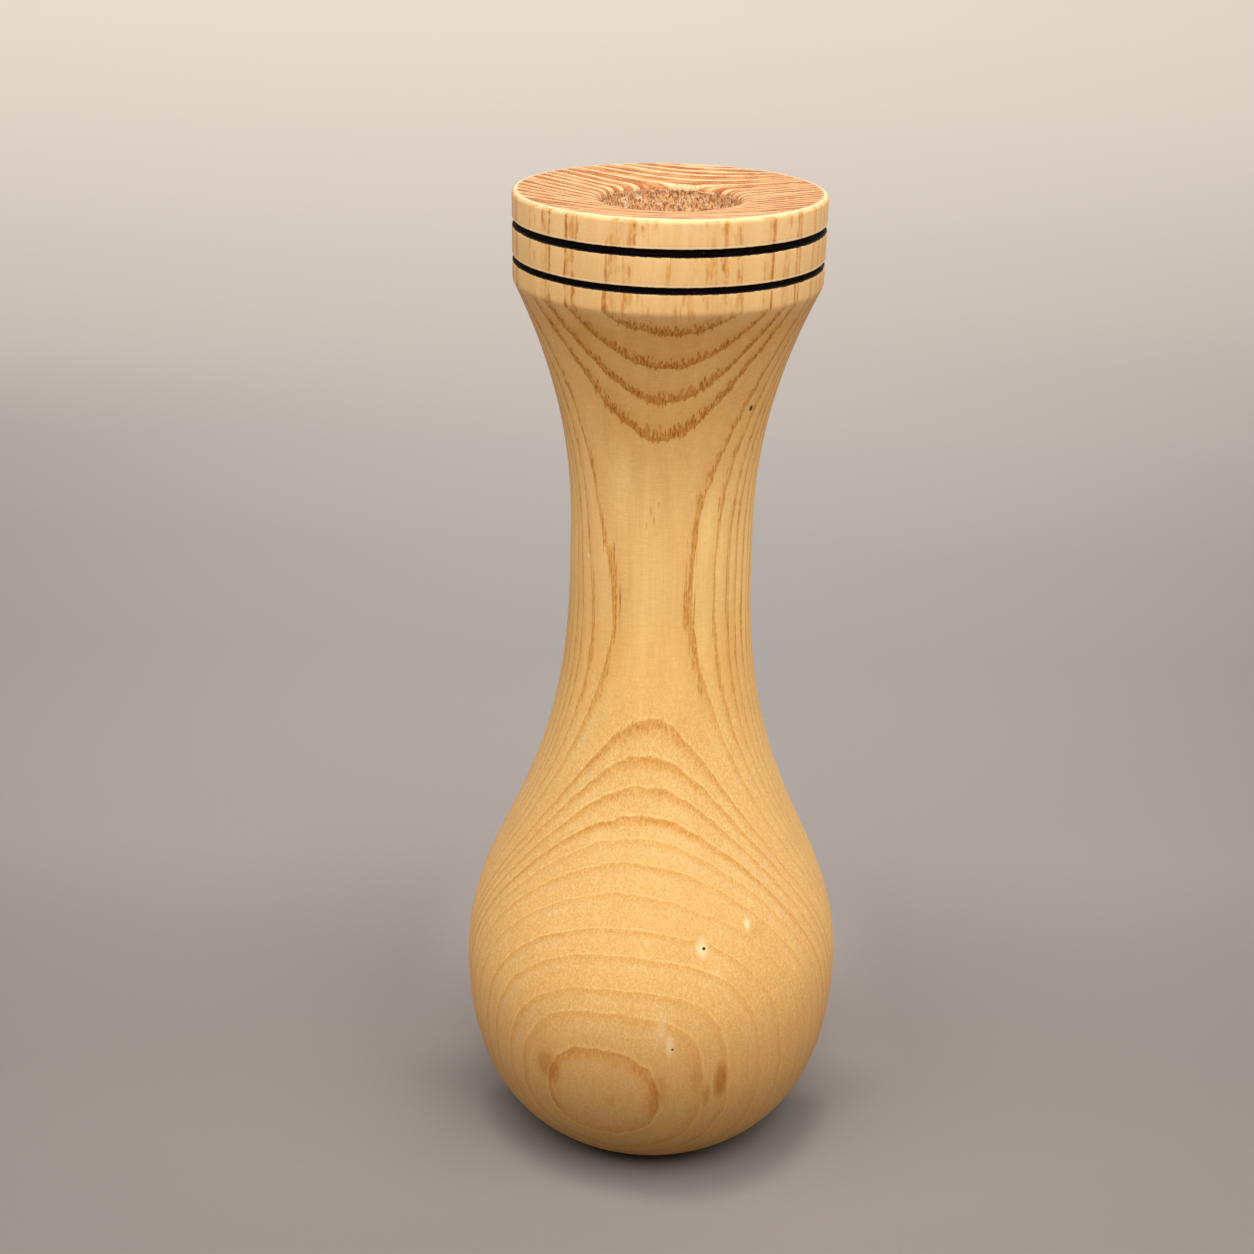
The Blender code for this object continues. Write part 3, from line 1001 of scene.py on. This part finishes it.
def ring_profile(drop, width):
    """Closed section of a burnt line's char: flat at the back, uneven and slightly hollow in front."""
    inner = RIM_RADIUS - LINE_DEPTH + CHAR_BACK_GAP
    outer = RIM_RADIUS - LINE_RECESS - CHAR_FACE_GAP
    half = width / 2 - CHAR_SIDE_GAP
    middle = HEIGHT - drop
    upper = [(inner, half), (outer - 0.0002, half), (outer, half * 0.6), (outer - 0.0001, half * 0.2)]
    points = [(radius, middle + offset) for radius, offset in upper]
    points += [(radius, middle - offset) for radius, offset in reversed(upper)]
    return points


def make_char_ring(name, node, drop, width, material, seed):
    """Lumpy ring of char, its face a little below the band's."""
    def shift(radius, height, angle):
        lump = noise.noise(on_circle(angle, height + seed, CHAR_LUMP_SIZE))
        slow = noise.noise(on_circle(angle, height + seed + 3.0, CHAR_SWELL_SIZE))
        if radius > RIM_RADIUS - LINE_DEPTH + CHAR_BACK_GAP + SAME_PLACE:
            return radius - CHAR_LUMP * (1 + lump) - CHAR_SWELL * (1 + slow), height
        return radius, height
    mesh = turned_mesh(name, ring_profile(drop, width), RING_STEPS, shift, closed=True)
    piece(name, mesh, material, "vase", "char", node)


def glass_material():
    """Clear glass with faint smears and a ground, matt lip."""
    material, tree, shader = shader_of("clear_glass", (0.90, 0.95, 0.94))
    mm = millimetres(tree)
    smear = ramp(cloud(tree, mm, 0.12, 3.0, 0.6), 0.45, 0.75)
    top = 1000.0 * TUBE_HIGH.z
    ground = ramp(parts_of(tree, mm)[2], top - 0.9, top - 0.3)
    colour = blend(tree, smear, (0.93, 0.97, 0.96), (0.86, 0.93, 0.91))
    colour = blend(tree, ground, colour, (0.66, 0.76, 0.74))
    rough = 0.01 + smear * 0.05 + ground * 0.35
    clear = 1.0 - ground * 0.6
    fill(tree, shader, Base_Color=colour, Roughness=rough, Transmission_Weight=clear, IOR=1.47)
    bump(tree, shader, cloud(tree, mm, 0.05, 1.0), 0.0004)
    return material


def tube_outline():
    """Flat-bottomed glass tube with a rounded base corner and a rounded lip."""
    top = TUBE_HIGH.z
    low = TUBE_LOW.z
    bore = TUBE_RADIUS - TUBE_WALL
    lip = TUBE_WALL / 2
    inner_corner = TUBE_CORNER - TUBE_WALL
    floor = low + TUBE_BASE
    points = [(0.0, floor)] + line((0.0, floor), (bore - inner_corner, floor), FLAT_ROWS)
    points += arc((bore - inner_corner, floor + inner_corner), inner_corner, -90, 0, 10)[1:]
    points += line(points[-1], (bore, top - lip), GLASS_ROWS)
    points += arc((TUBE_RADIUS - lip, top - lip), lip, 180, 0, 14)[1:]
    points += line(points[-1], (TUBE_RADIUS, low + TUBE_CORNER), GLASS_ROWS)
    points += arc((TUBE_RADIUS - TUBE_CORNER, low + TUBE_CORNER), TUBE_CORNER, 0, -90, 12)[1:]
    points += line(points[-1], (0.0, low), FLAT_ROWS)
    return points


def make_tube():
    mesh = turned_mesh("glass_tube", tube_outline(), TUBE_STEPS)
    piece("glass_tube", mesh, glass_material(), "liner", "clear_glass", "water_tube")


def felt_material(name, dark, light):
    """Pressed wool whose hairs cross each other."""
    material, tree, shader = shader_of(name, light)
    mm = millimetres(tree)
    x, y, z = parts_of(tree, mm)
    hairs = cloud(tree, vector(tree, x * 5.0, y * 0.9, z * 2.0), 1.0, 3.0, 0.6, 2.5)
    cross = cloud(tree, vector(tree, x * 0.9, y * 5.0, z * 2.0), 1.0, 3.0, 0.6, 2.5)
    matted = cloud(tree, mm, 0.35, 3.0, 0.6)
    weave = larger(hairs, cross)
    colour = blend(tree, ramp(weave * 0.7 + matted * 0.3, 0.40, 0.70), dark, light)
    fill(tree, shader, Base_Color=colour, Roughness=0.95, Sheen_Weight=0.35, Sheen_Roughness=0.5)
    bump(tree, shader, weave, 0.00025)
    return material


def felt_outline(radius, low, high):
    """Felt disc with a rounded cut edge, from the middle of its upper face to that of its lower one."""
    edge = (high - low) * FELT_EDGE_SHARE
    points = [(0.0, high)] + line((0.0, high), (radius - edge, high), CLOSE_ROWS)
    points += arc((radius - edge, high - edge), edge, 90, 0, 4)[1:]
    points += line(points[-1], (radius, low + edge), FINE_ROWS)
    points += arc((radius - edge, low + edge), edge, 0, -90, 4)[1:]
    points += line(points[-1], (0.0, low), CLOSE_ROWS)
    return points


def make_felt(name, node, corner_low, corner_high, material, slot, seed):
    """Felt disc, fuzzy and a little uneven, never outside its CAD solid."""
    radius = corner_high.x
    low = corner_low.z
    high = corner_high.z
    middle = (low + high) / 2

    def shift(r, z, angle):
        across = r / FELT_LUMP_WIDTH
        place = Vector((across * math.cos(angle), across * math.sin(angle), z / FELT_LUMP_HEIGHT + seed))
        lump = 0.5 + 0.5 * noise.noise(place)
        slow = 0.5 + 0.5 * noise.noise(place * 0.2)
        sink = FELT_LUMP * lump + FELT_LUMP * slow
        z = z - sink if z > middle else z + sink
        return r - FELT_EDGE_LUMP * slow - FELT_LUMP * lump if r > radius * 0.9 else r, z
    mesh = turned_mesh(name, felt_outline(radius, low, high), FELT_STEPS, shift)
    made = piece(name, mesh, material, "vase", slot, node)


# Stage

def level_curve(field, stops):
    """Number that changes with the field, through (place, level) stops."""
    grey = [(at, (level, level, level)) for at, level in stops]
    return parts_of(field.tree, colour_curve(field, grey))[0]


def floor_material():
    """Matt floor near the vase that turns into a pale, glowing sweep further back; its colour carries
    painted light falloff, painted shade to the sides, painted light beside the belly and a painted contact
    shadow.
    """
    material, tree, shader = shader_of("studio_floor", (0.4, 0.38, 0.36))
    mm = millimetres(tree)
    x, y = parts_of(tree, mm)[:2]
    grain = cloud(tree, mm, 0.6)
    around = combine(tree, "SQRT", x * x + y * y)
    depth = larger(y, around - SWEEP_ROUND)
    away = larger(larger(y + SIDEWAYS_FROM, SIDEWAYS_NEAREST), around * SIDEWAYS_SPREAD)
    aside = x / away
    dim = level_curve(depth, SWEEP_DIM)
    lean = level_curve(depth, SWEEP_LEAN)
    # slant paints shade towards the sides of the floor and of the glowing sweep.
    slant = 1.0 - aside * lean - aside * aside * dim
    # Painted light beside the belly and a painted contact shadow where the foot stands.
    lift = ramp(size_of(x), 68.0, 44.0) * ramp(y, -2.0, 16.0) * ramp(y, 110.0, 50.0) * PAINTED_LIGHT_BESIDE_BELLY
    contact = ramp(around + ramp(x, 20.0, -20.0) * 3.5, 47.0, 38.0) * ramp(y, 1.0, -8.0) * CONTACT_SHADE
    level = slant * (0.985 + grain * 0.03) * (1.0 + lift - contact)
    # The floor colour by depth is painted light falloff, darker near the vase and lighter further back.
    near = tint(tree, colour_curve(depth, FLOOR_TONES_AND_FALLOFF), level)
    seen = camera_like(tree)
    colour = blend(tree, seen, colour_curve(around, FLOOR_BOUNCE), near)
    fill(tree, shader, Base_Color=colour, Roughness=0.9, Specular_IOR_Level=0.1)
    glow = tree.nodes.new("ShaderNodeEmission")
    tree.links.new(tint(tree, colour_curve(depth, SWEEP_TONES), slant), glow.inputs["Color"])
    mix = tree.nodes.new("ShaderNodeMixShader")
    plug(tree, mix.inputs[0], seen * ramp(depth, SWEEP_START, SWEEP_FULL))
    tree.links.new(shader.outputs[0], mix.inputs[1])
    tree.links.new(glow.outputs[0], mix.inputs[2])
    tree.links.new(mix.outputs[0], tree.nodes["Material Output"].inputs["Surface"])
    return material


def camera_like(tree):
    """1 where the camera, a reflection or glass looks, 0 where light is gathered."""
    path = tree.nodes.new("ShaderNodeLightPath")
    seen = larger(Field(tree, path.outputs["Is Camera Ray"]), Field(tree, path.outputs["Is Glossy Ray"]))
    return larger(seen, Field(tree, path.outputs["Is Transmission Ray"]))


def make_floor():
    """A wide plain floor, a disc of rings that get coarser outwards."""
    outline = [(radius, 0.0) for radius in FLOOR_RADII]
    mesh = turned_mesh("studio_floor", outline, FLOOR_STEPS)
    mesh.materials.append(floor_material())
    made = bpy.data.objects.new("studio_floor", mesh)
    bpy.context.scene.collection.objects.link(made)


def make_world():
    """Dim even light all round, and a pale wall where the camera looks past the floor."""
    world = bpy.data.worlds.new("studio")
    world.use_nodes = True
    tree = world.node_tree
    back = tree.nodes["Background"]
    back.inputs["Color"].default_value = (*WORLD_TINT, 1.0)
    back.inputs["Strength"].default_value = WORLD_LEVEL
    shown = tree.nodes.new("ShaderNodeBackground")
    shown.inputs["Color"].default_value = (*WALL_TINT, 1.0)
    mix = tree.nodes.new("ShaderNodeMixShader")
    plug(tree, mix.inputs[0], camera_like(tree))
    tree.links.new(back.outputs[0], mix.inputs[1])
    tree.links.new(shown.outputs[0], mix.inputs[2])
    tree.links.new(mix.outputs[0], tree.nodes["World Output"].inputs["Surface"])
    bpy.context.scene.world = world


def make_lights():
    """Square soft boxes round the vase."""
    for name, azimuth, elevation, distance, aim, side, power in SOFT_BOXES:
        data = bpy.data.lights.new(name, "AREA")
        data.shape = "SQUARE"
        data.size = side
        data.energy = power
        data.color = LAMP_TINT
        turn = math.radians(azimuth)
        rise = math.radians(elevation)
        away = Vector((math.sin(turn) * math.cos(rise), -math.cos(turn) * math.cos(rise), math.sin(rise)))
        lamp = bpy.data.objects.new(name, data)
        lamp.location = Vector((0.0, 0.0, aim)) + away * distance
        lamp.rotation_euler = away.to_track_quat("Z", "Y").to_euler()
        bpy.context.scene.collection.objects.link(lamp)


def make_camera():
    """Camera where the photographer stood."""
    pitch, yaw, roll = (math.radians(a) for a in (CAMERA_PITCH, CAMERA_YAW, CAMERA_ROLL))
    level = math.cos(pitch)
    forward = Vector((math.sin(yaw) * level, math.cos(yaw) * level, -math.sin(pitch)))
    right = Vector((math.cos(yaw), -math.sin(yaw), 0.0))
    up = right.cross(forward)
    side = math.cos(roll) * right + math.sin(roll) * up
    head = -math.sin(roll) * right + math.cos(roll) * up
    turn = Matrix((side, head, -forward)).transposed().to_4x4()
    data = bpy.data.cameras.new("camera")
    data.sensor_fit = "AUTO"
    data.sensor_width = SENSOR_WIDTH_MM
    data.lens = SENSOR_WIDTH_MM * FOCAL_PIXELS / PHOTO_SIDE_PIXELS
    data.clip_start = CLIP_START
    data.clip_end = CLIP_END
    data.dof.use_dof = False
    camera = bpy.data.objects.new("camera", data)
    camera.matrix_world = Matrix.Translation((0.0, -CAMERA_DISTANCE, CAMERA_HEIGHT)) @ turn
    bpy.context.scene.collection.objects.link(camera)
    bpy.context.scene.camera = camera


def main():
    make_camera()
    make_world()
    make_lights()
    make_floor()
    make_body()
    char = char_material()
    make_char_ring("upper_char", "upper_burn_line", *BURNT_LINES[0], char, 0.0)
    make_char_ring("lower_char", "lower_burn_line", *BURNT_LINES[1], char, 1.0)
    make_tube()
    cushion_felt = felt_material("cushion_felt", (0.22, 0.18, 0.14), (0.45, 0.39, 0.31))
    foot_felt = felt_material("foot_felt", (0.05, 0.04, 0.03), (0.14, 0.115, 0.09))
    make_felt("felt_cushion", "tube_cushion", CUSHION_LOW, CUSHION_HIGH, cushion_felt, "cushion_felt", 5.0)
    make_felt("felt_foot", "foot_pad", PAD_LOW, PAD_HIGH, foot_felt, "foot_felt", 9.0)
    bpy.context.scene.view_settings.view_transform = "Standard"


main()
